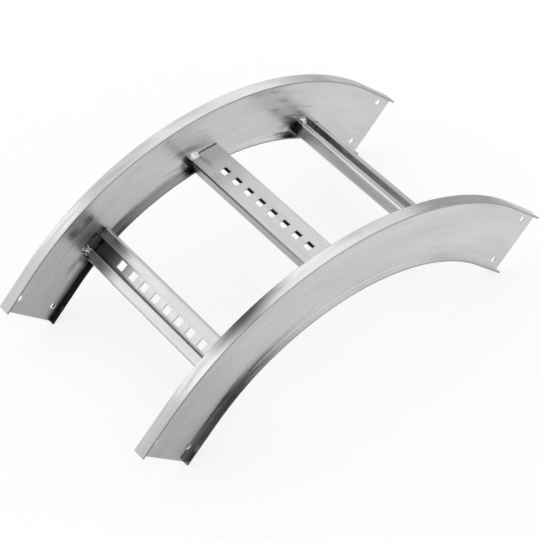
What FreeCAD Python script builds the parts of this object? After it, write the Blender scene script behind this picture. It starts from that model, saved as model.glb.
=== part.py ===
"""Vertical elbow of a ladder-type cable tray, standing as an arch on the four ends of its inner flanges.

Millimetres, +Z up. X runs along the chord of the arch, Y across the tray, and Z = 0 is the floor. The
origin is the middle of the footprint. Two bent I-section side rails carry three lipped channel rungs,
whose ends butt against the rails' webs and are held by short fillet welds.
"""
import FreeCAD, Part
import math
import os
import re

import Sketcher

DRIVING_SIZES = {
    "rail_height": 100.0,  # over both flanges of the I-section
    "flange_width": 18.5,
    "flange_thickness": 2.5,
    "web_thickness": 2.0,
    "root_radius": 1.2,  # between web and flange
    "clear_width": 302.5,  # between the flange edges of the two rails
    "inner_radius": 331.0,  # of the inner flange's concave face
    "bend_angle": 90.0,
    "tangent_length": 70.0,  # straight stretch beyond each end of the bend
    "splice_hole_diameter": 10.0,
    "splice_hole_margin": 14.0,  # from the outer face of each flange
    "splice_hole_setback": 24.0,  # from the rail's end
    "rung_width": 52.0,
    "rung_depth": 18.0,
    "rung_gauge": 2.0,
    "rung_lip": 15.0,
    "rung_bend_radius": 2.5,  # outside of the folds
    "rung_clearance": 3.3,  # over the root radius of the inner flange
    "rung_angle_step": 33.0,
    "rung_angle_shift": -0.9,  # of the whole row of rungs from the crown
    "rung_hole_size": 13.0,
    "rung_hole_pitch": 26.6,
    "rung_hole_count": 9,
    "weld_leg": 6.0,
    "weld_length": 12.0,
}
DERIVED_SIZES = {
    "middle_radius": "=inner_radius + rail_height / 2",
    "bend_centre_height": "=tangent_length * sin(bend_angle / 2) - inner_radius * cos(bend_angle / 2)",
    "rail_offset": "=(clear_width + flange_width) / 2",
    "splice_hole_spacing": "=rail_height - 2 * splice_hole_margin",
    "rail_start_x": "=-1 * middle_radius * sin(bend_angle / 2) - tangent_length * cos(bend_angle / 2)",
    "rail_start_z": "=rail_height / 2 * cos(bend_angle / 2)",
    "bend_exit_x": "=tangent_length + middle_radius * sin(bend_angle)",
    "bend_exit_y": "=middle_radius * cos(bend_angle) - middle_radius",
    "rail_end_x": "=bend_exit_x + tangent_length * cos(bend_angle)",
    "rail_end_y": "=bend_exit_y - tangent_length * sin(bend_angle)",
    "rung_length": "=clear_width + flange_width - web_thickness",
    "rung_seat_radius": "=inner_radius + flange_thickness + root_radius + rung_clearance",
}
ORIGIN_POINT = (-1, 1)
HORIZONTAL_AXIS = -1
VERTICAL_AXIS = -2
START, END, CENTRE = 1, 2, 3
NEAR = 1e-3

document = FreeCAD.newDocument("cable_tray_vertical_elbow")


def make_sheet():
    """Writes the driving and the derived sizes into a spreadsheet, one named cell a row."""
    sheet = document.addObject("Spreadsheet::Sheet", "sizes")
    for row, (alias, value) in enumerate({**DRIVING_SIZES, **DERIVED_SIZES}.items(), start=1):
        sheet.set(f"A{row}", alias)
        sheet.set(f"B{row}", str(value))
        sheet.setAlias(f"B{row}", alias)
    document.recompute()
    return sheet


sizes = make_sheet()


def size(alias):
    """Reads one size from the spreadsheet as a plain number."""
    return float(getattr(sizes, alias))


def worked_out(formula):
    """Works out a formula of spreadsheet sizes for the first drawing of a sketch."""
    return float(sizes.evalExpression(formula))


def bind(thing, name, formula):
    """Ties a property or constraint to the spreadsheet, each size in the formula being an alias there."""
    known = {*DRIVING_SIZES, *DERIVED_SIZES}
    linked = re.sub(r"[a-z_]+", lambda word: f"sizes.{word[0]}" if word[0] in known else word[0], formula)
    thing.setExpression(name, linked)


def new_sketch(body, plane, name):
    """Adds a sketch on one of the body's own origin planes."""
    sketch = body.newObject("Sketcher::SketchObject", name)
    support = next(item for item in body.Origin.OriginFeatures if item.Role == plane)
    sketch.AttachmentSupport = [(support, "")]
    sketch.MapMode = "FlatFace"
    return sketch


def pin(sketch, geometry, end, formulas):
    """Holds one point of a sketch at a place given by two formulas. None leaves that direction free."""
    for kind, axis, formula in zip(("DistanceX", "DistanceY"), (VERTICAL_AXIS, HORIZONTAL_AXIS), formulas):
        if formula is None:
            continue
        if formula == "0":
            sketch.addConstraint(Sketcher.Constraint("PointOnObject", geometry, end, axis))
            continue
        value = worked_out(formula)
        index = sketch.addConstraint(Sketcher.Constraint(kind, *ORIGIN_POINT, geometry, end, value))
        bind(sketch, f"Constraints[{index}]", formula)


def draw_outline(sketch, corners):
    """Draws a closed outline of straight lines through corners that are pairs of formulas."""
    places = [FreeCAD.Vector(worked_out(across), worked_out(up), 0) for across, up in corners]
    first = sketch.GeometryCount
    count = len(places)
    for index in range(count):
        sketch.addGeometry(Part.LineSegment(places[index], places[(index + 1) % count]), False)
    for index in range(count):
        following = first + (index + 1) % count
        sketch.addConstraint(Sketcher.Constraint("Coincident", first + index, END, following, START))
        pin(sketch, first + index, START, corners[index])


def edges_where(shape, test):
    """Names the edges that pass a test of the edge and its middle point."""
    names = []
    for number, edge in enumerate(shape.Edges, start=1):
        middle = edge.valueAt((edge.FirstParameter + edge.LastParameter) / 2)
        if test(edge, middle):
            names.append(f"Edge{number}")
    return names


def cut_through(body, sketch, name):
    """Pockets a sketch through the whole body to both sides and checks that metal went."""
    before = body.Tip.Shape.Volume
    pocket = body.newObject("PartDesign::Pocket", name)
    pocket.Profile = sketch
    pocket.Type = "ThroughAll"
    pocket.Midplane = True
    document.recompute()
    if pocket.Shape.Volume >= before - NEAR:
        raise ValueError(f"{name} cuts nothing")
    return pocket


def height_over_centre_line(point):
    """Gives how far a point of a rail's own frame lies outward of the rail's centre line."""
    straight, radius, bend = size("tangent_length"), size("middle_radius"), math.radians(size("bend_angle"))
    turned = math.atan2(point.x - straight, point.z + radius)
    if turned <= 0:
        return point.z
    if turned >= bend:
        return (point.x - straight) * math.sin(bend) + (point.z + radius) * math.cos(bend) - radius
    return math.hypot(point.x - straight, point.z + radius) - radius


def is_root_edge(edge, middle):
    """Tells whether an edge runs in a corner between web and flange."""
    beside_web = abs(abs(middle.y) - size("web_thickness") / 2) < NEAR
    root = size("rail_height") / 2 - size("flange_thickness")
    along_rail = edge.Length > size("tangent_length") - NEAR
    return beside_web and along_rail and abs(abs(height_over_centre_line(middle)) - root) < NEAR


def make_rail(label, side):
    """Sweeps one side rail. In its own frame it starts along +X and bends down."""
    body = document.addObject("PartDesign::Body", label)
    body.Label = label
    rail = sweep_section(body, label)
    roots = body.newObject("PartDesign::Fillet", f"{label}_roots")
    roots.Base = (rail, edges_where(rail.Shape, is_root_edge))
    roots.Radius = size("root_radius")
    bind(roots, "Radius", "root_radius")
    document.recompute()

    holes = new_sketch(body, "XZ_Plane", f"{label}_splice_holes")
    for half in ("splice_hole_spacing / 2", "-1 * splice_hole_spacing / 2"):
        draw_hole(holes, ("splice_hole_setback", half))
        across = f"rail_end_x - splice_hole_setback * cos(bend_angle) + {half} * sin(bend_angle)"
        along = f"rail_end_y + splice_hole_setback * sin(bend_angle) + {half} * cos(bend_angle)"
        draw_hole(holes, (across, along))
    document.recompute()
    cut_through(body, holes, f"{label}_splice_pocket")

    turn = FreeCAD.Rotation(FreeCAD.Vector(0, 1, 0), -size("bend_angle") / 2)
    place = FreeCAD.Vector(size("rail_start_x"), side * size("rail_offset"), size("rail_start_z"))
    body.Placement = FreeCAD.Placement(place, turn)
    return body


def sweep_section(body, label):
    """Sweeps the I-section along a straight stretch, the bend and the other straight stretch."""
    path = new_sketch(body, "XZ_Plane", f"{label}_path")
    straight, radius, bend = size("tangent_length"), size("middle_radius"), math.radians(size("bend_angle"))
    entry = FreeCAD.Vector(straight, 0, 0)
    path_exit = FreeCAD.Vector(size("bend_exit_x"), size("bend_exit_y"), 0)
    path_end = FreeCAD.Vector(size("rail_end_x"), size("rail_end_y"), 0)
    circle = Part.Circle(FreeCAD.Vector(straight, -radius, 0), FreeCAD.Vector(0, 0, 1), radius)
    path.addGeometry(Part.LineSegment(FreeCAD.Vector(0, 0, 0), entry), False)
    path.addGeometry(Part.ArcOfCircle(circle, math.pi / 2 - bend, math.pi / 2), False)
    path.addGeometry(Part.LineSegment(path_exit, path_end), False)
    path.addConstraint(Sketcher.Constraint("Coincident", 0, START, *ORIGIN_POINT))
    path.addConstraint(Sketcher.Constraint("Coincident", 0, END, 1, END))
    path.addConstraint(Sketcher.Constraint("Coincident", 1, START, 2, START))
    pin(path, 0, END, ("tangent_length", "0"))
    pin(path, 1, CENTRE, ("tangent_length", None))
    pin(path, 1, START, ("bend_exit_x", "bend_exit_y"))
    pin(path, 2, END, ("rail_end_x", "rail_end_y"))

    section = new_sketch(body, "YZ_Plane", f"{label}_section")
    tip, web = "flange_width / 2", "web_thickness / 2"
    edge, root = "rail_height / 2", "(rail_height / 2 - flange_thickness)"
    quarter = [(tip, edge), (tip, root), (web, root)]
    lower_right = [(across, f"-1 * {up}") for across, up in reversed(quarter)]
    lower_left = [(f"-1 * {across}", f"-1 * {up}") for across, up in quarter]
    upper_left = [(f"-1 * {across}", up) for across, up in reversed(quarter)]
    draw_outline(section, quarter + lower_right + lower_left + upper_left)
    document.recompute()

    rail = body.newObject("PartDesign::AdditivePipe", f"{label}_sweep")
    rail.Profile = section
    rail.Spine = (path, ["Edge1", "Edge2", "Edge3"])
    document.recompute()
    return rail


def draw_hole(sketch, centre):
    """Draws one splice bolt hole about a centre given by two formulas."""
    radius = size("splice_hole_diameter") / 2
    place = FreeCAD.Vector(worked_out(centre[0]), worked_out(centre[1]), 0)
    circle = sketch.addGeometry(Part.Circle(place, FreeCAD.Vector(0, 0, 1), radius), False)
    pin(sketch, circle, CENTRE, centre)
    index = sketch.addConstraint(Sketcher.Constraint("Radius", circle, radius))
    bind(sketch, f"Constraints[{index}]", "splice_hole_diameter / 2")


def fold_side(edge, middle):
    """Names the side of a fold, outer or inner, that an edge of the plain channel lies on, if any."""
    half = size("rung_width") / 2
    if edge.Length < size("rung_length") - NEAR:
        return None
    if abs(abs(middle.x) - half) < NEAR:
        return "outer"
    return "inner" if abs(abs(middle.x) - half + size("rung_gauge")) < NEAR else None


def make_rung(label, angle, opens_inward):
    """Folds one rung: a lipped channel along its own Y, square holes down its web, a weld at each end."""
    body = document.addObject("PartDesign::Body", label)
    body.Label = label
    fold_channel(body, label)
    punch_square_holes(body, label)
    add_welds(body, label, opens_inward)

    radial = FreeCAD.Vector(math.sin(math.radians(angle)), 0, math.cos(math.radians(angle)))
    reach = size("rung_seat_radius") + (size("rung_depth") if opens_inward else 0)
    place = FreeCAD.Vector(0, 0, size("bend_centre_height")) + radial * reach
    turn = FreeCAD.Rotation(FreeCAD.Vector(0, 1, 0), angle + (180 if opens_inward else 0))
    body.Placement = FreeCAD.Placement(place, turn)
    return body


def fold_channel(body, label):
    """Makes the plain lipped channel, open toward its own +Z, with rounded folds."""
    section = new_sketch(body, "XZ_Plane", f"{label}_section")
    outer, inner = "rung_width / 2", "(rung_width / 2 - rung_gauge)"
    lip, under = "(rung_width / 2 - rung_lip)", "rung_depth - rung_gauge"
    web = [(inner, "rung_gauge"), (inner, under)]
    right = [(outer, "0"), (outer, "rung_depth"), (lip, "rung_depth"), (lip, under), *reversed(web)]
    left = [(f"-1 * {across}", up) for across, up in reversed(right)]
    draw_outline(section, right + left)
    document.recompute()
    channel = body.newObject("PartDesign::Pad", f"{label}_channel")
    channel.Profile = section
    channel.Midplane = True
    bind(channel, "Length", "rung_length")
    document.recompute()

    folded = channel
    for side, formula in (("outer", "rung_bend_radius"), ("inner", "rung_bend_radius - rung_gauge")):
        names = edges_where(folded.Shape, lambda edge, middle: fold_side(edge, middle) == side)
        base, folded = folded, body.newObject("PartDesign::Fillet", f"{label}_{side}_folds")
        folded.Base = (base, names)
        folded.Radius = worked_out(formula)
        bind(folded, "Radius", formula)
        document.recompute()


def punch_square_holes(body, label):
    """Punches the row of square holes through the channel's web."""
    half, first = "rung_hole_size / 2", "(rung_hole_count - 1) / 2 * rung_hole_pitch"
    square = new_sketch(body, "XY_Plane", f"{label}_square")
    low, high = f"-1 * {first} - {half}", f"-1 * {first} + {half}"
    draw_outline(square, [(f"-1 * {half}", low), (half, low), (half, high), (f"-1 * {half}", high)])
    document.recompute()
    pocket = cut_through(body, square, f"{label}_square_hole")
    row = body.newObject("PartDesign::LinearPattern", f"{label}_hole_row")
    row.Originals = [pocket]
    row.Direction = (next(item for item in body.Origin.OriginFeatures if item.Role == "Y_Axis"), [""])
    bind(row, "Length", "(rung_hole_count - 1) * rung_hole_pitch")
    bind(row, "Occurrences", "rung_hole_count")
    body.Tip = row
    document.recompute()


def add_welds(body, label, opens_inward):
    """Lays a short fillet weld where each end of the rung's outward face meets a rail's web."""
    end = "rung_length / 2"
    foot, crest = ("0", "-1 * weld_leg") if opens_inward else ("rung_depth", "rung_depth + weld_leg")
    start = "rung_width / 2 - rung_bend_radius"
    beads = new_sketch(body, "YZ_Plane", f"{label}_weld_section")
    for sign in ("", "-1 * "):
        toe = f"{sign}({end} - weld_leg)"
        draw_outline(beads, [(f"{sign}{end}", foot), (f"{sign}{end}", crest), (toe, foot)])
    bind(beads, "AttachmentOffset.Base.z", f"{start} - weld_length" if opens_inward else f"-1 * ({start})")
    document.recompute()
    before = body.Tip.Shape.Volume
    welds = body.newObject("PartDesign::Pad", f"{label}_welds")
    welds.Profile = beads
    bind(welds, "Length", "weld_length")
    document.recompute()
    if welds.Shape.Volume <= before + NEAR:
        raise ValueError(f"{label} has no welds")


def check_document(parts):
    """Stops the build when any object failed or any sub-part is not one valid solid."""
    for item in document.Objects:
        if {"Invalid", "Error"} & set(item.State):
            raise ValueError(f"{item.Label} failed: {item.State}")
    for item in parts:
        if item.Shape.isNull() or not item.Shape.isValid() or len(item.Shape.Solids) != 1:
            raise ValueError(f"{item.Label} is not one valid solid")


def main():
    """Builds the rails and rungs, checks them and writes one file for each."""
    step, crown = size("rung_angle_step"), size("rung_angle_shift")
    parts = [
        make_rail("side_rail_near", -1),
        make_rail("side_rail_far", 1),
        make_rung("rung_left", crown - step, False),
        make_rung("rung_middle", crown, True),
        make_rung("rung_right", crown + step, False),
    ]
    document.recompute()
    check_document(parts)
    os.makedirs("parts", exist_ok=True)
    for item in parts:
        item.Shape.exportStep(f"parts/{item.Label}.step")
        print(item.Label, round(item.Shape.Volume), item.Shape.BoundBox)


main()
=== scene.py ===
"""Dresses the cable tray vertical elbow: mill-finish rails and rungs, fillet welds, floor, light and camera.

Everything is in metres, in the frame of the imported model: X runs along the chord of the bend, Y across
the tray and Z up. The bend turns about a line along Y that lies under the floor. A distance along the
bend is measured from the crown toward the right end, at the middle of the rails' height.
"""

import logging
import math
from collections.abc import Iterable
from dataclasses import dataclass
from enum import Enum
from typing import Any

import bmesh
import bpy
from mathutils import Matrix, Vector, noise


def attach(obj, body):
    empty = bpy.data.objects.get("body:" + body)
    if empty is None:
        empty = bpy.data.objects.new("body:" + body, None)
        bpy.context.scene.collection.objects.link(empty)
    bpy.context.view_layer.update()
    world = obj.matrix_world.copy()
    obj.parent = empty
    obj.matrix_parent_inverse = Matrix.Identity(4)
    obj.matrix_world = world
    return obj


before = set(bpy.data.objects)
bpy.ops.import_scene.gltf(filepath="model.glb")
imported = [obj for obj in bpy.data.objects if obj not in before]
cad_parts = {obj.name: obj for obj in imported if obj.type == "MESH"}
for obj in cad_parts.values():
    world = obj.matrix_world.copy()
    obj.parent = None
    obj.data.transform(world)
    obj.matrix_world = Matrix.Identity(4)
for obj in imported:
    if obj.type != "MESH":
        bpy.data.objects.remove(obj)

LOG = logging.getLogger("cable_tray_elbow")
Socket = bpy.types.NodeSocket
SocketOrValue = Socket | float
Pair = tuple[float, float]
Triple = tuple[float, float, float]


class Side(Enum):
    """The two sides of the tray, each with its direction along Y."""

    NEAR = -1
    FAR = 1


class Grain(Enum):
    """The direction that the drawing lines of a metal run in."""

    ALONG_RAIL = "along the rail"
    ACROSS_TRAY = "across the tray"


class Seat(Enum):
    """The rungs' seats, each with its angle from the crown."""

    LEFT = math.radians(-33.9)
    MIDDLE = math.radians(-0.9)
    RIGHT = math.radians(32.1)


@dataclass(frozen=True)
class Bend:
    """The line that the rails follow, their section, and how the rungs sit in it.

    Attributes:
        centre_height: Height of the bend's centre line, which lies under the floor.
        inner_radius: Radius of the inner flanges' concave face.
        rail_height: Height of a rail's section.
        half_angle: Half of the angle that the rails turn through.
        rail_offset: Distance of a web from the tray's middle plane.
        flange_half: Half of a flange's width.
        web_half: Half of a web's thickness.
        web_rim: Distances from a web's middle between which it gives way to its flanges.
        rung_seat: Radius that the rungs' undersides lie on.
        rung_depth: Depth of a rung's section.
        under_lips: Radii between which a rung's outer face or lips give way to its walls and inside.
        tray_half: Half of the width over which a mark changes across the tray.
    """

    centre_height: float = -0.184555
    inner_radius: float = 0.331
    rail_height: float = 0.100
    half_angle: float = math.radians(45)
    rail_offset: float = 0.1605
    flange_half: float = 0.00925
    web_half: float = 0.001
    web_rim: Pair = (0.0011, 0.0022)
    rung_seat: float = 0.338
    rung_depth: float = 0.018
    under_lips: Pair = (0.3535, 0.3538)
    tray_half: float = 0.16

    @property
    def middle_radius(self) -> float:
        """Returns the radius at the middle of the rails' height."""
        return self.inner_radius + self.rail_height / 2

    @property
    def web_face(self) -> float:
        """Returns the distance of a web's inner face from the tray's middle plane."""
        return self.rail_offset - self.web_half

    def run(self, seat: Seat) -> float:
        """Returns the distance of a seat along the bend."""
        return seat.value * self.middle_radius

    def point(self, seat: Seat, across: float, reach: float, y: float) -> Vector:
        """Places a point of a rung or weld.

        Args:
            seat: The rung's seat.
            across: Distance from the rung's middle toward the right end.
            reach: Distance from the bend's centre line.
            y: Distance across the tray.

        Returns:
            The point in the frame of the model.
        """
        sine, cosine = math.sin(seat.value), math.cos(seat.value)
        height = reach * cosine - across * sine
        return Vector((reach * sine + across * cosine, y, self.centre_height + height))


BEND = Bend()


def grey(level: float) -> tuple[float, float, float, float]:
    """Returns an opaque grey as a colour."""
    return level, level, level, 1.0


@dataclass(frozen=True)
class Streaks:
    """Noise that runs in long streaks.

    Attributes:
        along: Scale along the streaks, per metre.
        side: Scale across the streaks, per metre.
        detail: Number of finer layers.
        distortion: How far the streaks are warped.
    """

    along: float
    side: float
    detail: float
    distortion: float = 0.0


class NodeBench:
    """Lays out the nodes of one shader tree and links them."""

    def __init__(self, tree: bpy.types.NodeTree) -> None:
        """Starts with an empty tree."""
        self.tree = tree
        tree.nodes.clear()

    def add(self, kind: str, inputs: dict[str | int, Any] | None = None, **settings: Any) -> bpy.types.Node:
        """Adds a node.

        Args:
            kind: Type name of the node.
            inputs: Sockets or plain values for its inputs, by name or number.
            **settings: Properties of the node.

        Returns:
            The new node.
        """
        node = self.tree.nodes.new(kind)
        for name, value in settings.items():
            setattr(node, name, value)
        for name, value in (inputs or {}).items():
            self.feed(node.inputs[name], value)
        return node

    def feed(self, socket: Socket, value: Any) -> None:
        """Links a socket to another one, or sets its plain value.

        Args:
            socket: The input to feed.
            value: A socket or a plain value.
        """
        if isinstance(value, Socket):
            self.tree.links.new(value, socket)
        else:
            socket.default_value = value

    def calc(self, operation: str, *values: SocketOrValue) -> Socket:
        """Returns the result of a Math node."""
        return self.add("ShaderNodeMath", dict(enumerate(values)), operation=operation).outputs[0]

    def measure(self, operation: str, *vectors: Socket | Triple) -> Socket:
        """Returns the number that a Vector Math node gives."""
        node = self.add("ShaderNodeVectorMath", dict(enumerate(vectors)), operation=operation)
        return node.outputs["Value"]

    def combine(self, *values: SocketOrValue) -> Socket:
        """Returns a vector made of three numbers."""
        return self.add("ShaderNodeCombineXYZ", dict(enumerate(values))).outputs[0]

    def fade(
        self,
        value: SocketOrValue,
        start: float,
        end: float,
        low: SocketOrValue = 0.0,
        high: SocketOrValue = 1.0,
    ) -> Socket:
        """Eases a number from one value to another over a range.

        Args:
            value: The number to look at.
            start: Where the change begins.
            end: Where the change is complete.
            low: Result before the start.
            high: Result past the end.

        Returns:
            The eased number.
        """
        inputs = dict(enumerate((value, start, end, low, high)))
        return self.add("ShaderNodeMapRange", inputs, interpolation_type="SMOOTHSTEP").outputs[0]

    def without(self, effect: SocketOrValue, share: SocketOrValue) -> Socket:
        """Returns 1 less a share of an effect."""
        return self.calc("SUBTRACT", 1.0, self.calc("MULTIPLY", effect, share))

    def sway(self, value: SocketOrValue, by: Socket, amount: float) -> Socket:
        """Moves a number up and down with a noise.

        Args:
            value: The number to move.
            by: The noise, from 0 to 1.
            amount: How far its full range moves the number.

        Returns:
            The moved number.
        """
        return self.calc("MULTIPLY_ADD", self.calc("SUBTRACT", by, 0.5), amount, value)

    def away(self, spot: tuple[SocketOrValue, ...], middle: Triple, radii: Triple) -> Socket:
        """Measures how far a spot lies from a middle, in radii.

        Args:
            spot: The three coordinates of the spot.
            middle: The three coordinates of the middle.
            radii: The radius along each coordinate.

        Returns:
            The distance, 1 at the radii.
        """
        off = (self.calc("SUBTRACT", value, centre) for value, centre in zip(spot, middle))
        scaled = self.combine(*(self.calc("DIVIDE", value, radius) for value, radius in zip(off, radii)))
        return self.measure("LENGTH", scaled)

    def grain(self, place: Socket, scale: float, detail: float, distortion: float = 0.0) -> Socket:
        """Returns fractal noise at a place, from 0 to 1."""
        inputs = {"Vector": place, "Scale": scale, "Detail": detail, "Distortion": distortion}
        return self.add("ShaderNodeTexNoise", inputs).outputs[0]

    def bump(self, height: Socket, distance: float, normal: Socket | None = None) -> Socket:
        """Raises a surface by a height map.

        Args:
            height: The map, from 0 to 1.
            distance: Height of its full range.
            normal: The surface's direction before, if not the mesh's own.

        Returns:
            The surface's new direction.
        """
        inputs: dict[str | int, Any] = {"Strength": 1.0, "Distance": distance, "Height": height}
        if normal is not None:
            inputs["Normal"] = normal
        return self.add("ShaderNodeBump", inputs).outputs[0]

    def metal(self, colour: Socket, roughness: Socket, normal: Socket) -> None:
        """Ends the tree of a bare metal.

        Args:
            colour: Its colour.
            roughness: Its roughness.
            normal: The direction of its surface.
        """
        inputs = {"Base Color": colour, "Metallic": 1.0, "Roughness": roughness, "Normal": normal}
        surface = self.add("ShaderNodeBsdfPrincipled", inputs)
        self.add("ShaderNodeOutputMaterial", {"Surface": surface.outputs[0]})

    def sight(self) -> tuple[Socket, Socket]:
        """Tells the rays apart.

        Returns:
            1 for a ray from the camera, and 1 for a ray off metal or through glass.
        """
        path = self.add("ShaderNodeLightPath").outputs
        mirrored = self.calc("MAXIMUM", path["Is Glossy Ray"], path["Is Transmission Ray"])
        return path["Is Camera Ray"], mirrored


def new_material(name: str) -> tuple[bpy.types.Material, NodeBench]:
    """Makes an empty node material.

    Args:
        name: Name of the material.

    Returns:
        The material and the bench for its nodes.
    """
    material = bpy.data.materials.new(name)
    material.use_nodes = True
    return material, NodeBench(material.node_tree)


@dataclass(frozen=True)
class ElbowPlace:
    """Where a point of the elbow lies when the bend is unrolled.

    Attributes:
        run: Distance along the bend.
        across: Distance across the tray from its middle plane, toward the far rail.
        off_middle: The same distance without its sign.
        reach: Distance from the bend's centre line.
    """

    run: Socket
    across: Socket
    off_middle: Socket
    reach: Socket

    @classmethod
    def unroll(cls, bench: NodeBench) -> "ElbowPlace":
        """Works the place out from the shaded point.

        Args:
            bench: The shader's nodes.

        Returns:
            The unrolled place.
        """
        point = bench.add("ShaderNodeTexCoord").outputs["Object"]
        x, y, z = bench.add("ShaderNodeSeparateXYZ", {0: point}).outputs
        height = bench.calc("SUBTRACT", z, BEND.centre_height)
        turned = bench.calc("ARCTAN2", x, height)
        held = bench.calc("MAXIMUM", bench.calc("MINIMUM", turned, BEND.half_angle), -BEND.half_angle)
        sine, cosine = bench.calc("SINE", held), bench.calc("COSINE", held)
        reach = bench.calc("ADD", bench.calc("MULTIPLY", x, sine), bench.calc("MULTIPLY", height, cosine))
        fall = bench.calc("MULTIPLY", height, sine)
        beyond = bench.calc("SUBTRACT", bench.calc("MULTIPLY", x, cosine), fall)
        run = bench.calc("MULTIPLY_ADD", held, BEND.middle_radius, beyond)
        return cls(run, y, bench.calc("ABSOLUTE", y), reach)

    def noise(self, bench: NodeBench, grain: Grain, streaks: Streaks) -> Socket:
        """Lays streaks over the elbow.

        Args:
            bench: The shader's nodes.
            grain: The direction of the streaks.
            streaks: Their size and detail.

        Returns:
            The noise, from 0 to 1.
        """
        scales = (streaks.along, streaks.side) if grain is Grain.ALONG_RAIL else (streaks.side, streaks.along)
        run = bench.calc("MULTIPLY", self.run, scales[0])
        across = bench.calc("MULTIPLY", self.across, scales[1])
        scaled = bench.combine(run, across, bench.calc("MULTIPLY", self.reach, streaks.side))
        return bench.grain(scaled, 1.0, streaks.detail, streaks.distortion)

    def off_web(self, bench: NodeBench) -> Socket:
        """Returns the distance from the middle of the nearer web."""
        return bench.calc("ABSOLUTE", bench.calc("SUBTRACT", self.off_middle, BEND.rail_offset))

    def off_rung(self, bench: NodeBench, seat: Seat) -> Socket:
        """Returns the distance along the bend from the middle of a rung."""
        return bench.calc("ABSOLUTE", bench.calc("SUBTRACT", self.run, BEND.run(seat)))

    def under_lips(self, bench: NodeBench) -> Socket:
        """Returns 1 on a rung's walls and inside, and 0 on its outer face or lips."""
        return bench.fade(self.reach, *BEND.under_lips, 1.0, 0.0)

    def toward_far(self, bench: NodeBench, near: float, far: float) -> Socket:
        """Returns a number that changes from the near rail to the far one."""
        return bench.fade(self.across, -BEND.tray_half, BEND.tray_half, near, far)


class Mark:
    """Something that darkens the metal in one place."""

    def shade(self, bench: NodeBench, place: ElbowPlace, broken: Socket) -> Socket:
        """Works out how dark the mark is.

        Args:
            bench: The shader's nodes.
            place: Where the shaded point lies.
            broken: Noise that breaks an outline.

        Returns:
            The factor on the brightness.
        """
        raise NotImplementedError


@dataclass(frozen=True)
class DarkFlangeEdges(Mark):
    """The edge faces of a rail's flanges, made darker than the rest of the rail.

    Attributes:
        tone: Brightness left on them.
        band: How far from the edge the darkening starts and is complete.
    """

    tone: float = 0.60
    band: Pair = (0.0004, 0.0001)

    def shade(self, bench: NodeBench, place: ElbowPlace, broken: Socket) -> Socket:
        """Darkens the edges.

        Args:
            bench: The shader's nodes.
            place: Where the shaded point lies.
            broken: Unused here.

        Returns:
            The factor on the brightness.
        """
        start, end = (BEND.flange_half - width for width in self.band)
        return bench.fade(place.off_web(bench), start, end, 1.0, self.tone)


@dataclass(frozen=True)
class GrooveShade(Mark):
    """Painted shade on a rail's inner flange, deep at the left end and faint up to the crown.

    Attributes:
        deep_shade: Light that the painted shade takes away where it is deep, on the near and on the far rail.
        faint_shade: Light that the painted shade takes away where it is faint, on the near and on the far
            rail.
        deep_shade_end: Where the deep shade starts to fade along the bend, and where it has.
        faint_shade_end: The same for the faint shade.
        top: Radii between which the shade ends.
        raggedness: How far the noise moves the ends along the bend.
    """

    deep_shade: Pair = (0.64, 0.93)
    faint_shade: Pair = (0.0, 0.42)
    deep_shade_end: Pair = (-0.235, -0.185)
    faint_shade_end: Pair = (-0.05, 0.0)
    top: Pair = (0.3350, 0.3358)
    raggedness: float = 0.08

    def shade(self, bench: NodeBench, place: ElbowPlace, broken: Socket) -> Socket:
        """Darkens the flange.

        Args:
            bench: The shader's nodes.
            place: Where the shaded point lies.
            broken: Noise that breaks the ends.

        Returns:
            The factor on the brightness.
        """
        run = bench.sway(place.run, broken, self.raggedness)
        deep_shade, faint_shade = place.toward_far(bench, *self.deep_shade), place.toward_far(bench, *self.faint_shade)
        # painted shade on the inner flange, deep at the left end and faint up to the crown
        shade_amount = bench.fade(run, *self.deep_shade_end, deep_shade, faint_shade)
        shade_amount = bench.calc("MULTIPLY", shade_amount, bench.fade(run, *self.faint_shade_end, 1.0, 0.0))
        return bench.without(shade_amount, bench.fade(place.reach, *self.top, 1.0, 0.0))


@dataclass(frozen=True)
class FlangeDarkReflection(Mark):
    """Ragged dark patch on the near rail's outer flange, left of the crown: a painted dark reflection.

    Attributes:
        middle: Its middle along the bend, across the tray and away from the bend's centre line.
        radii: Its radii in the same directions.
        tone: Brightness left in its core.
        core: Where the core ends, in radii.
        raggedness: How far the noise moves its outline, in radii.
    """

    middle: Triple = (-0.156, -0.1535, 0.431)
    radii: Triple = (0.076, 0.021, 0.006)
    tone: float = 0.16
    core: float = 0.18
    raggedness: float = 0.6

    def shade(self, bench: NodeBench, place: ElbowPlace, broken: Socket) -> Socket:
        """Darkens the patch.

        Args:
            bench: The shader's nodes.
            place: Where the shaded point lies.
            broken: Noise that breaks the outline.

        Returns:
            The factor on the brightness.
        """
        # painted dark reflection on the near rail's outer flange
        away = bench.away((place.run, place.across, place.reach), self.middle, self.radii)
        return bench.fade(bench.sway(away, broken, self.raggedness), self.core, 1.0, self.tone, 1.0)


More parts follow.
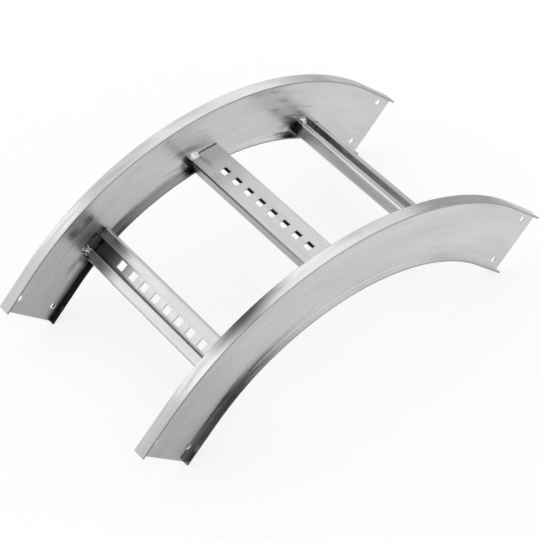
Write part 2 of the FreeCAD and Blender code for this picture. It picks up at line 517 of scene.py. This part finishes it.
@dataclass(frozen=True)
class WeldSootAndShade(Mark):
    """Soot round the welds, on the inner side of the rails, with painted shade in its core where rung and web
    meet.

    Attributes:
        grain: The direction that its wisps run in.
        strength: Light that its core of painted shade takes away.
        core: Where the core ends, in radii.
        radii: Its radii along the bend, away from the bend's centre line and off the web.
        off_rung: Distance of its middle from a rung's middle, toward the left end.
        over_seat: Distance of its middle from a rung's underside.
        raggedness: How far the noise moves its outline, in radii.
        wisps: Light that the soot wisps round it take away.
        wisp_reach: Where the wisps end, in radii.
        puffs: The streaks that the wisps follow.
        puff_range: Range of the streaks' noise over which a wisp thickens.
    """

    grain: Grain
    strength: float
    core: float
    radii: Triple
    off_rung: float = 0.0299
    over_seat: float = 0.0072
    raggedness: float = 1.1
    wisps: float = 0.40
    wisp_reach: float = 3.0
    puffs: Streaks = Streaks(along=16.0, side=75.0, detail=1.5, distortion=0.3)
    puff_range: Pair = (0.50, 0.64)

    def shade(self, bench: NodeBench, place: ElbowPlace, broken: Socket) -> Socket:
        """Darkens the metal beside each weld.

        Args:
            bench: The shader's nodes.
            place: Where the shaded point lies.
            broken: Noise that breaks the outline.

        Returns:
            The factor on the brightness.
        """
        past_web = bench.calc("SUBTRACT", place.off_middle, BEND.web_face)
        spot = (place.run, place.reach, past_web)
        nearest: SocketOrValue = self.wisp_reach
        for seat in Seat:
            middle = (BEND.run(seat) - self.off_rung, BEND.rung_seat + self.over_seat, 0.0)
            nearest = bench.calc("MINIMUM", nearest, bench.away(spot, middle, self.radii))
        ragged = bench.sway(nearest, broken, self.raggedness)
        # the core is painted shade where rung and web meet; the wisps below are soot
        core = bench.fade(ragged, self.core, 1.0, self.strength, 0.0)
        puffs = bench.fade(place.noise(bench, self.grain, self.puffs), *self.puff_range, 0.0, self.wisps)
        wisps = bench.calc("MULTIPLY", puffs, bench.fade(nearest, 1.0, self.wisp_reach, 1.0, 0.0))
        inner_side = bench.calc("LESS_THAN", past_web, BEND.web_half)
        return bench.without(bench.calc("MAXIMUM", core, wisps), inner_side)


@dataclass(frozen=True)
class WeldSeam(Mark):
    """The dark joint line where a rung meets a web.

    Attributes:
        tone: Brightness left in it.
        band: How far from the web the darkening starts and is complete.
    """

    tone: float = 0.12
    band: Pair = (0.0016, 0.0010)

    def shade(self, bench: NodeBench, place: ElbowPlace, broken: Socket) -> Socket:
        """Darkens the seam.

        Args:
            bench: The shader's nodes.
            place: Where the shaded point lies.
            broken: Unused here.

        Returns:
            The factor on the brightness.
        """
        start, end = (BEND.web_face - width for width in self.band)
        return bench.fade(place.off_middle, start, end, 1.0, self.tone)


@dataclass(frozen=True)
class DarkerRungEnds(Mark):
    """The ends of a rung, made darker toward the rails.

    Attributes:
        tone: Brightness left on them.
        stretch: Distances from the tray's middle plane between which they darken.
    """

    tone: float = 0.74
    stretch: Pair = (0.112, 0.140)

    def shade(self, bench: NodeBench, place: ElbowPlace, broken: Socket) -> Socket:
        """Darkens the ends.

        Args:
            bench: The shader's nodes.
            place: Where the shaded point lies.
            broken: Unused here.

        Returns:
            The factor on the brightness.
        """
        return bench.fade(place.off_middle, *self.stretch, 1.0, self.tone)


@dataclass(frozen=True)
class ChannelShade(Mark):
    """Painted shade inside a rung's channel, where its outside has none.

    Attributes:
        seat: The rung's seat.
        tone: Brightness left in it.
        end_tone: Brightness left at its ends.
        wall: Distances from the rung's middle between which its inside ends.
        stretch: Distances from the tray's middle plane between which the ends begin.
    """

    seat: Seat
    tone: float
    end_tone: float
    wall: Pair = (0.0273, 0.0277)
    stretch: Pair = (0.105, 0.135)

    def shade(self, bench: NodeBench, place: ElbowPlace, broken: Socket) -> Socket:
        """Darkens the inside.

        Args:
            bench: The shader's nodes.
            place: Where the shaded point lies.
            broken: Unused here.

        Returns:
            The factor on the brightness.
        """
        # painted shade inside the channel, with its own level at the ends
        between_walls = bench.fade(place.off_rung(bench, self.seat), *self.wall, 1.0, 0.0)
        inside = bench.calc("MULTIPLY", between_walls, place.under_lips(bench))
        lost = bench.fade(place.off_middle, *self.stretch, 1.0 - self.tone, 1.0 - self.end_tone)
        return bench.without(lost, inside)


@dataclass(frozen=True)
class FarWallShade(Mark):
    """Painted shade over the walls of a rung's far half.

    Attributes:
        tone: Brightness left at the far end.
        stretch: Distances across the tray between which it deepens.
    """

    tone: float
    stretch: Pair = (-0.10, 0.06)

    def shade(self, bench: NodeBench, place: ElbowPlace, broken: Socket) -> Socket:
        """Darkens the walls.

        Args:
            bench: The shader's nodes.
            place: Where the shaded point lies.
            broken: Unused here.

        Returns:
            The factor on the brightness.
        """
        # painted shade on the walls, deepening toward the far end
        far_shade = bench.fade(place.across, *self.stretch, 0.0, 1.0 - self.tone)
        return bench.without(far_shade, place.under_lips(bench))


@dataclass(frozen=True)
class BendShadeLine(Mark):
    """Painted shade line along a rung's outer bend, on its left.

    Attributes:
        seat: The rung's seat.
        strength: Light that the line takes away, at its near and at its far end.
        off_rung: Distance of the bend from the rung's middle.
        reach: Distance of the bend from the bend's centre line.
        width: Distances from there between which the line ends.
    """

    seat: Seat
    strength: Pair
    off_rung: float = 0.0279
    reach: float = 0.3568
    width: Pair = (0.0016, 0.0028)

    def shade(self, bench: NodeBench, place: ElbowPlace, broken: Socket) -> Socket:
        """Darkens the line.

        Args:
            bench: The shader's nodes.
            place: Where the shaded point lies.
            broken: Unused here.

        Returns:
            The factor on the brightness.
        """
        # painted shade line along the rung's left outer bend
        corner = (BEND.run(self.seat) - self.off_rung, self.reach, 0.0)
        away = bench.away((place.run, place.reach, 0.0), corner, (1.0, 1.0, 1.0))
        line = bench.fade(away, *self.width, 1.0, 0.0)
        return bench.without(line, place.toward_far(bench, *self.strength))


@dataclass(frozen=True)
class MillFinish:
    """Bare aluminium as it leaves the press: semi-gloss, with drawing lines and uneven streaks.

    Attributes:
        name: Name of the material.
        grain: The direction of its lines and streaks.
        tone: Its grey.
        streak_depth: How far the streaks change the grey.
        roughness: Its middling roughness.
        roughness_spread: How far the streaks change the roughness.
        marks: What darkens it in places.
        web_dullness: Roughness that a rail's web has over its flanges.
        tint: How much of the grey each of red, green and blue gets.
        arris: Radius that sharp edges are rounded with.
        clouds: Its widest streaks.
        streaks: Its middling streaks, which also change the gloss.
        lines: Its drawing lines.
        hairs: Its finest lines.
        line_share: How far the drawing lines change the grey, as a share of the streaks' depth.
        gloss_range: Range of the streaks' noise over which the gloss changes.
        smoother_share: Share of that spread that lies under the middling roughness.
        line_height: Height of the drawing lines.
        hair_height: Height of the finest lines.
    """

    name: str
    grain: Grain
    tone: float
    streak_depth: float
    roughness: float
    roughness_spread: float
    marks: tuple[Mark, ...]
    web_dullness: float = 0.0
    tint: Triple = (1.0, 1.004, 1.012)
    arris: float = 0.0009
    clouds: Streaks = Streaks(along=7.0, side=34.0, detail=3.0, distortion=0.4)
    streaks: Streaks = Streaks(along=11.0, side=80.0, detail=3.0, distortion=0.5)
    lines: Streaks = Streaks(along=14.0, side=260.0, detail=4.0)
    hairs: Streaks = Streaks(along=60.0, side=1900.0, detail=2.0)
    line_share: float = 0.6
    gloss_range: Pair = (0.36, 0.64)
    smoother_share: float = 0.35
    line_height: float = 0.000015
    hair_height: float = 0.000004

    def build(self) -> bpy.types.Material:
        """Builds the material.

        Returns:
            The finish as nodes.
        """
        material, bench = new_material(self.name)
        place = ElbowPlace.unroll(bench)
        streaks = place.noise(bench, self.grain, self.streaks)
        lines = place.noise(bench, self.grain, self.lines)
        hairs = place.noise(bench, self.grain, self.hairs)
        brightness = self._brightness(bench, place, streaks, lines)
        colour = bench.combine(*(bench.calc("MULTIPLY", brightness, share) for share in self.tint))
        rounded = bench.add("ShaderNodeBevel", {"Radius": self.arris}, samples=4).outputs[0]
        normal = bench.bump(hairs, self.hair_height, bench.bump(lines, self.line_height, rounded))
        bench.metal(colour, self._gloss(bench, place, streaks), normal)
        return material

    def _brightness(self, bench: NodeBench, place: ElbowPlace, streaks: Socket, lines: Socket) -> Socket:
        """Lays the uneven grain and the marks over the metal's tone.

        Args:
            bench: The shader's nodes.
            place: Where the shaded point lies.
            streaks: Noise of the middling streaks.
            lines: Noise of the drawing lines.

        Returns:
            The grey of the metal.
        """
        clouds = place.noise(bench, self.grain, self.clouds)
        brightness = bench.sway(self.tone, lines, self.streak_depth * self.line_share)
        brightness = bench.sway(brightness, clouds, self.streak_depth)
        brightness = bench.sway(brightness, streaks, self.streak_depth)
        for mark in self.marks:
            brightness = bench.calc("MULTIPLY", brightness, mark.shade(bench, place, streaks))
        return brightness

    def _gloss(self, bench: NodeBench, place: ElbowPlace, streaks: Socket) -> Socket:
        """Works out the roughness.

        Args:
            bench: The shader's nodes.
            place: Where the shaded point lies.
            streaks: Noise of the middling streaks.

        Returns:
            The roughness of the metal.
        """
        smooth = self.roughness - self.smoother_share * self.roughness_spread
        roughness = bench.fade(streaks, *self.gloss_range, smooth, smooth + self.roughness_spread)
        if not self.web_dullness:
            return roughness
        duller = bench.fade(place.off_web(bench), *BEND.web_rim, self.web_dullness, 0.0)
        return bench.calc("ADD", roughness, duller)


@dataclass(frozen=True)
class WeldFinish:
    """Bright cast surface of a weld bead, with near-black spots laid by noise.

    Attributes:
        name: Name of the material.
        tone: Its grey.
        dark_spot_tone: Grey of the dark spots.
        dark_spot_level: Level of the lumps' noise under which there are dark spots.
        dark_spot_rim: Range of that noise over which a dark spot gives way to bright metal.
        roughness: Its roughness where it is smoothest.
        roughness_spread: How much rougher it is at its roughest.
        lump_scale: Scale of the lumps, per metre.
        speck_scale: Scale of the specks, per metre.
        speck_range: Range of the specks' noise over which the roughness changes.
        speck_height: Height of the specks.
    """

    name: str = "weld_bead_metal"
    tone: float = 0.98
    dark_spot_tone: float = 0.03
    dark_spot_level: float = 0.30
    dark_spot_rim: float = 0.06
    roughness: float = 0.30
    roughness_spread: float = 0.2
    lump_scale: float = 340.0
    speck_scale: float = 1500.0
    speck_range: Pair = (0.3, 0.7)
    speck_height: float = 0.0003

    def build(self) -> bpy.types.Material:
        """Builds the material.

        Returns:
            The finish as nodes.
        """
        material, bench = new_material(self.name)
        place = bench.add("ShaderNodeTexCoord").outputs["Object"]
        lumps = bench.grain(place, self.lump_scale, detail=3.0, distortion=0.8)
        specks = bench.grain(place, self.speck_scale, detail=3.0)
        bright = bench.fade(lumps, self.dark_spot_level, self.dark_spot_level + self.dark_spot_rim)
        inputs = {0: bright, 6: grey(self.dark_spot_tone), 7: grey(self.tone)}
        colour = bench.add("ShaderNodeMix", inputs, data_type="RGBA").outputs[2]
        roughest = self.roughness + self.roughness_spread
        roughness = bench.fade(specks, *self.speck_range, self.roughness, roughest)
        bench.metal(colour, roughness, bench.bump(specks, self.speck_height))
        return material


def put_on(piece: bpy.types.Object, finish: bpy.types.Material) -> None:
    """Puts one material on every slot of a piece.

    Args:
        piece: The piece.
        finish: Its material.
    """
    if not piece.data.materials:
        piece.data.materials.append(finish)
    for index in range(len(piece.data.materials)):
        piece.data.materials[index] = finish


def stand(name: str, data: bpy.types.ID) -> bpy.types.Object:
    """Stands a mesh, lamp or camera in the scene.

    Args:
        name: Name of the object.
        data: What it shows.

    Returns:
        The linked object.
    """
    placed = bpy.data.objects.new(name, data)
    bpy.context.scene.collection.objects.link(placed)
    return placed


def finish_mesh(name: str, mesh: bmesh.types.BMesh) -> bpy.types.Mesh:
    """Finishes a mesh.

    Args:
        name: Name of the mesh.
        mesh: The mesh in the making, which is freed.

    Returns:
        The finished mesh.
    """
    data = bpy.data.meshes.new(name)
    mesh.to_mesh(data)
    mesh.free()
    return data


@dataclass
class SideRail:
    """One bent I-section side rail.

    Attributes:
        side: The side of the tray that it stands on.
        finish: Its metal.
    """

    side: Side
    finish: MillFinish = MillFinish(
        "rail_mill_finish",
        Grain.ALONG_RAIL,
        tone=0.79,
        streak_depth=0.18,
        roughness=0.25,
        roughness_spread=0.20,
        marks=(
            DarkFlangeEdges(),
            GrooveShade(),
            FlangeDarkReflection(),
            WeldSootAndShade(Grain.ALONG_RAIL, strength=0.66, core=0.40, radii=(0.017, 0.020, 0.018)),
        ),
        web_dullness=0.05,
    )

    @property
    def node(self) -> str:
        """Returns the name of the rail's node."""
        return f"side_rail_{self.side.name.lower()}"

    def dress(self) -> None:
        """Gives the rail its mill finish."""
        put_on(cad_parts[self.node], self.finish.build())
        LOG.info("%s has %s", self.node, self.finish.name)


@dataclass
class WeldBead:
    """A short convex fillet weld between the end of a rung and a rail's web.

    Attributes:
        seat: The rung's seat.
        side: The side of the tray.
        centre: Distance of its middle from the rung's middle, toward the right end.
        half_length: Half of its length.
        leg: Length of the legs of its section.
        bulge: How far its face is convex: 1 for a flat face, less for a fuller one.
        bluntness: How late it tapers toward its ends.
        end_width: Least share of its section that is left at its ends, squared.
        ripple_pitch: Distance between two ripples.
        ripple_height: Height of the ripples, as a share of its section.
        ripple_shift: How far a rung's angle shifts the ripples.
        lump_height: Height of the lumps, as a share of its section.
        lump_scale: Scale of the lumps along it, round it and from rung to rung.
        sink: How deep its hidden corner lies in the rung and the web.
        stations: Number of its cross-sections.
        facets: Number of facets round its face.
    """

    seat: Seat
    side: Side
    centre: float = -0.0175
    half_length: float = 0.0080
    leg: float = 0.0076
    bulge: float = 0.62
    bluntness: float = 7.0
    end_width: float = 0.02
    ripple_pitch: float = 0.0024
    ripple_height: float = 0.07
    ripple_shift: float = 9.0
    lump_height: float = 0.09
    lump_scale: Triple = (700.0, 2.2, 7.0)
    sink: float = 0.0005
    stations: int = 33
    facets: int = 12

    def build(self, finish: bpy.types.Material) -> bpy.types.Object:
        """Builds the bead.

        Args:
            finish: Material of the bead.

        Returns:
            The bead, riding on the elbow.
        """
        mesh = bmesh.new()
        rings = [[mesh.verts.new(point) for point in self._ring(station)] for station in range(self.stations)]
        for ring, following in zip(rings, rings[1:]):
            for index in range(len(ring)):
                after = (index + 1) % len(ring)
                mesh.faces.new((ring[index], ring[after], following[after], following[index]))
        mesh.faces.new(rings[0])
        mesh.faces.new(list(reversed(rings[-1])))
        bmesh.ops.recalc_face_normals(mesh, faces=mesh.faces)
        name = f"weld_{self.seat.name.lower()}_{self.side.name.lower()}"
        data = finish_mesh(name, mesh)
        data.shade_smooth()
        bead = stand(name, data)
        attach(bead, "root")
        put_on(bead, finish)
        return bead

    def _ring(self, station: int) -> list[Vector]:
        """Makes one cross-section.

        Args:
            station: Its number, from the left end.

        Returns:
            Its points, the hidden corner first.
        """
        step = -1.0 + 2.0 * station / (self.stations - 1)
        along = self.centre + step * self.half_length
        taper = max(1.0 - abs(step) ** self.bluntness, self.end_width) ** 0.5
        phase = math.pi * along / self.ripple_pitch + self.seat.value * self.ripple_shift
        leg = self.leg * taper * (1.0 + self.ripple_height * abs(math.sin(phase)))
        ring = [self._place(along, -self.sink, -self.sink)]
        for facet in range(self.facets + 1):
            turn = math.pi / 2 * facet / self.facets
            radius = leg * self._lump(along, turn) / (math.cos(turn) + math.sin(turn)) ** self.bulge
            ring.append(self._place(along, radius * math.sin(turn), radius * math.cos(turn)))
        return ring

    def _lump(self, along: float, turn: float) -> float:
        """Works out how far a lump swells the section.

        Args:
            along: Distance from the rung's middle toward the right end.
            turn: Angle round the face, from the web.

        Returns:
            The factor on the section.
        """
        along_scale, turn_scale, seat_scale = self.lump_scale
        spot = (along * along_scale, turn * turn_scale, self.seat.value * seat_scale + self.side.value)
        return 1.0 + self.lump_height * noise.noise(Vector(spot))

    def _place(self, along: float, over_rung: float, off_web: float) -> Vector:
        """Places a point of the bead.

        Args:
            along: Distance from the rung's middle toward the right end.
            over_rung: Height over the rung's outer face.
            off_web: Distance from the web's inner face.

        Returns:
            The point in the frame of the model.
        """
        reach = BEND.rung_seat + BEND.rung_depth + over_rung
        return BEND.point(self.seat, along, reach, self.side.value * (BEND.web_face - off_web))


@dataclass
class Rung:
    """One lipped channel rung with the weld bead at each of its ends.

    Attributes:
        seat: Its seat in the bend.
        tone: Grey of its metal, painted lighter on the right rung for the light that it catches.
        marks: Its marks besides those of every rung.
        weld: Finish of its beads.
    """

    seat: Seat
    tone: float
    marks: tuple[Mark, ...]
    weld: WeldFinish = WeldFinish()

    @property
    def node(self) -> str:
        """Returns the name of the rung's node."""
        return f"rung_{self.seat.name.lower()}"

    def dress(self) -> None:
        """Gives the rung its mill finish."""
        soot_and_shade = WeldSootAndShade(Grain.ACROSS_TRAY, strength=0.90, core=0.60, radii=(0.017, 0.020, 0.019))
        finish = MillFinish(
            "rung_mill_finish",
            Grain.ACROSS_TRAY,
            tone=self.tone,
            streak_depth=0.08,
            roughness=0.28,
            roughness_spread=0.06,
            marks=(WeldSeam(), DarkerRungEnds(), *self.marks, soot_and_shade),
        )
        put_on(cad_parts[self.node], finish.build())
        LOG.info("%s has %s", self.node, finish.name)

    def weld_ends(self) -> None:
        """Adds the bead at each end."""
        metal = self.weld.build()
        for side in Side:
            bead = WeldBead(self.seat, side).build(metal)
            LOG.info("%s has %s", bead.name, self.weld.name)


@dataclass
class StudioFloor:
    """Pale matt floor that shows white, keeps the elbow's shadow and is mirrored unevenly lit.

    Attributes:
        size: Length of its sides.
        tone: Grey of its matt surface.
        glow: What it adds for the camera, so that it shows white.
        mirrored: Its level in the metal on the left and on the right.
        change: Where that level starts to change along X, and where it has changed.
        left_glow: What the metal mirrors on top of it, far on the left.
        left_end: Where that glow starts to fade along X, and where it is gone.
        spot: Middle of the unlit spot on the right.
        spot_radii: Its radii.
        spot_rim: Distances from its middle, in radii, between which it fades.
        spot_share: Share of the level that is left in it.
        right_end: Where the light starts to fade far on the right, and where it has faded.
        right_share: Share of the level that is left there.
    """

    size: float = 80.0
    tone: float = 0.30
    glow: float = 0.73
    mirrored: Pair = (0.20, 0.50)
    change: Pair = (-0.45, 0.15)
    left_glow: float = 0.90
    left_end: Pair = (-0.90, -0.52)
    spot: Triple = (0.86, 0.20, 0.0)
    spot_radii: Triple = (0.50, 0.42, 1.0)
    spot_rim: Pair = (0.30, 1.05)
    spot_share: float = 0.20
    right_end: Pair = (1.05, 1.60)
    right_share: float = 0.30

    def build(self) -> None:
        """Lays the floor."""
        mesh = bmesh.new()
        bmesh.ops.create_grid(mesh, x_segments=4, y_segments=4, size=self.size / 2)
        floor = stand("studio_floor", finish_mesh("studio_floor", mesh))
        put_on(floor, self._finish())
        LOG.info("floor laid")

    def _finish(self) -> bpy.types.Material:
        """Builds the material.

        Returns:
            The finish as nodes.
        """
        material, bench = new_material("studio_floor_white")
        seen, mirrored = bench.sight()
        matt = bench.add("ShaderNodeBsdfDiffuse", {"Color": grey(self.tone)})
        shown = bench.calc("MULTIPLY", seen, self.glow)
        glow = bench.calc("MULTIPLY_ADD", mirrored, self._mirrored_level(bench), shown)
        light = bench.add("ShaderNodeEmission", {"Strength": glow})
        both = bench.add("ShaderNodeAddShader", {0: matt.outputs[0], 1: light.outputs[0]})
        bench.add("ShaderNodeOutputMaterial", {"Surface": both.outputs[0]})
        return material

    def _mirrored_level(self, bench: NodeBench) -> Socket:
        """Works out the level that the metal mirrors.

        Args:
            bench: The shader's nodes.

        Returns:
            The level at the shaded point.
        """
        point = bench.add("ShaderNodeTexCoord").outputs["Object"]
        x, y, _ = bench.add("ShaderNodeSeparateXYZ", {0: point}).outputs
        left = bench.fade(x, *self.left_end, self.left_glow, 0.0)
        level = bench.calc("ADD", bench.fade(x, *self.change, *self.mirrored), left)
        off_spot = bench.away((x, y, 0.0), self.spot, self.spot_radii)
        level = bench.calc("MULTIPLY", level, bench.fade(off_spot, *self.spot_rim, self.spot_share, 1.0))
        return bench.calc("MULTIPLY", level, bench.fade(x, *self.right_end, 1.0, self.right_share))


@dataclass(frozen=True)
class Panel:
    """A soft-edged lighter or darker panel round the elbow, which its metal mirrors.

    Attributes:
        direction: Where its middle hangs, seen from the elbow.
        edge: Cosine of the angle from there at which it ends.
        heart: Cosine of the angle within which it has its full level.
        change: What it adds to the level of the surroundings.
        lowest: Height in a direction of length 1 that its lower border starts at.
        border: Height of its lower border.
    """

    direction: Triple
    edge: float
    heart: float
    change: float
    lowest: float = -1.2
    border: float = 0.16

    def effect(self, bench: NodeBench, toward: Socket, height: Socket) -> Socket:
        """Works out what the panel adds in a direction.

        Args:
            bench: The shader's nodes.
            toward: The direction looked in.
            height: Its height.

        Returns:
            The change of the surroundings' level.
        """
        facing = bench.measure("DOT_PRODUCT", toward, tuple(Vector(self.direction).normalized()))
        change = bench.fade(facing, self.edge, self.heart, 0.0, self.change)
        return bench.calc("MULTIPLY", change, bench.fade(height, self.lowest, self.lowest + self.border))


@dataclass
class Surroundings:
    """White surroundings, in which the metal mirrors the lit and unlit sides of a studio.

    Attributes:
        ambient: Level of the light that falls on matt surfaces.
        mirrored: Level that the metal mirrors where no panel hangs.
        darkest: Least level that the metal mirrors.
        panels: What the metal mirrors besides.
    """

    ambient: float = 1.0
    mirrored: float = 0.93
    darkest: float = 0.02
    panels: tuple[Panel, ...] = (
        Panel((-0.85, -0.55, 0.20), edge=0.57, heart=0.80, change=-0.95, lowest=0.10),
        Panel((-0.95, 0.29, 0.10), edge=0.50, heart=0.94, change=-0.16),
        Panel((-0.24, 0.44, 0.87), edge=0.945, heart=0.985, change=-0.24),
        Panel((0.97, 0.20, 0.22), edge=0.905, heart=0.940, change=-0.50),
        Panel((-0.60, 0.56, 0.59), edge=0.966, heart=0.992, change=0.68),
        Panel((0.54, 0.80, 0.34), edge=0.920, heart=0.955, change=0.40),
        Panel((0.52, -0.66, 0.54), edge=0.70, heart=0.93, change=0.30),
    )

    def build(self) -> None:
        """Makes the world."""
        world = bpy.data.worlds.new("studio")
        world.use_nodes = True
        bpy.context.scene.world = world
        bench = NodeBench(world.node_tree)
        toward = bench.add("ShaderNodeTexCoord").outputs["Generated"]
        height = bench.add("ShaderNodeSeparateXYZ", {0: toward}).outputs[2]
        level: SocketOrValue = self.mirrored
        for panel in self.panels:
            level = bench.calc("ADD", level, panel.effect(bench, toward, height))
        seen, mirrored = bench.sight()
        strength = bench.calc("MAXIMUM", seen, bench.calc("MAXIMUM", level, self.darkest))
        around = bench.add("ShaderNodeBackground", {"Strength": strength})
        soft = bench.add("ShaderNodeBackground", {"Strength": self.ambient})
        inputs = {0: bench.calc("MAXIMUM", seen, mirrored), 1: soft.outputs[0], 2: around.outputs[0]}
        bench.add("ShaderNodeOutputWorld", {"Surface": bench.add("ShaderNodeMixShader", inputs).outputs[0]})
        LOG.info("surroundings have %d panels", len(self.panels))


@dataclass
class Softbox:
    """A square studio lamp that faces the elbow.

    Attributes:
        name: Its name.
        direction: Where it hangs, seen from the elbow.
        distance: How far away it hangs.
        size: Length of its sides.
        power: Its power in watts.
        aim_height: Height of the point that it faces.
    """

    name: str
    direction: Triple
    distance: float
    size: float
    power: float
    aim_height: float = 0.12

    def build(self) -> None:
        """Hangs the lamp."""
        data = bpy.data.lights.new(self.name, "AREA")
        data.shape, data.size, data.energy = "SQUARE", self.size, self.power
        lamp = stand(self.name, data)
        toward = Vector(self.direction).normalized()
        lamp.location = Vector((0, 0, self.aim_height)) + toward * self.distance
        lamp.rotation_mode = "QUATERNION"
        lamp.rotation_quaternion = toward.to_track_quat("Z", "Y")
        LOG.info("%s hangs at %s", self.name, tuple(round(value, 2) for value in lamp.location))


@dataclass
class PhotoCamera:
    """The camera, at the photograph's place.

    Attributes:
        azimuth: Its direction round the elbow, from the near side toward the right end.
        elevation: Its angle over the floor.
        distance: Its distance from the bend's centre line.
        aim_right: How far it stands to the right of the line through the elbow's middle.
        aim_up: How far it stands over that line.
        lens: Its focal length, in millimetres.
        sensor: Width of its sensor, in millimetres.
        clip: Nearest and farthest distance that it shows.
    """

    azimuth: float = math.radians(-38.33)
    elevation: float = math.radians(46.90)
    distance: float = 2.9033
    aim_right: float = -0.0076
    aim_up: float = 0.16195
    lens: float = 127.474
    sensor: float = 36.0
    clip: Pair = (0.05, 300.0)

    def build(self) -> None:
        """Stands the camera where the photograph was taken from."""
        sin_a, cos_a = math.sin(self.azimuth), math.cos(self.azimuth)
        sin_e, cos_e = math.sin(self.elevation), math.cos(self.elevation)
        back = Vector((sin_a * cos_e, -cos_a * cos_e, sin_e))
        right = Vector((cos_a, sin_a, 0))
        data = bpy.data.cameras.new("photo_camera")
        data.lens, data.sensor_width = self.lens, self.sensor
        data.clip_start, data.clip_end = self.clip
        camera = stand("photo_camera", data)
        aim = right * self.aim_right + back.cross(right) * self.aim_up
        camera.location = Vector((0, 0, BEND.centre_height)) + back * self.distance + aim
        camera.rotation_mode = "QUATERNION"
        camera.rotation_quaternion = (-back).to_track_quat("-Z", "Y")
        bpy.context.scene.camera = camera
        LOG.info("camera stands at %s", tuple(round(value, 3) for value in camera.location))


def main() -> None:
    """Dresses the elbow piece by piece and sets up the studio."""
    logging.basicConfig(level=logging.INFO, format="%(name)s: %(message)s")
    bpy.context.scene.view_settings.view_transform = "Standard"
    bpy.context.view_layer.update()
    for side in Side:
        SideRail(side).dress()
    left_marks = (ChannelShade(Seat.LEFT, tone=1.0, end_tone=0.36),)
    middle_marks = (
        ChannelShade(Seat.MIDDLE, tone=0.30, end_tone=0.15),
        BendShadeLine(Seat.MIDDLE, strength=(0.45, 0.75)),
    )
    right_marks = (ChannelShade(Seat.RIGHT, tone=0.88, end_tone=1.0), FarWallShade(tone=0.78))
    # The rungs share one metal; the right rung's tone of 0.92 is painted lighter, for the light that its side
    # catches.
    for rung in (
        Rung(Seat.LEFT, tone=0.75, marks=left_marks, weld=WeldFinish(dark_spot_level=0.48)),
        Rung(Seat.MIDDLE, tone=0.71, marks=middle_marks),
        Rung(Seat.RIGHT, tone=0.92, marks=right_marks, weld=WeldFinish(dark_spot_level=0.45)),
    ):
        rung.dress()
        rung.weld_ends()
    for item in (
        StudioFloor(),
        Surroundings(),
        Softbox("key_softbox", (-0.58, 0.52, 0.62), distance=2.8, size=0.9, power=0.1),
        Softbox("top_softbox", (0.12, 0.10, 1.0), distance=3.0, size=3.0, power=12.0),
        PhotoCamera(),
    ):
        item.build()


if __name__ == "__main__":
    main()
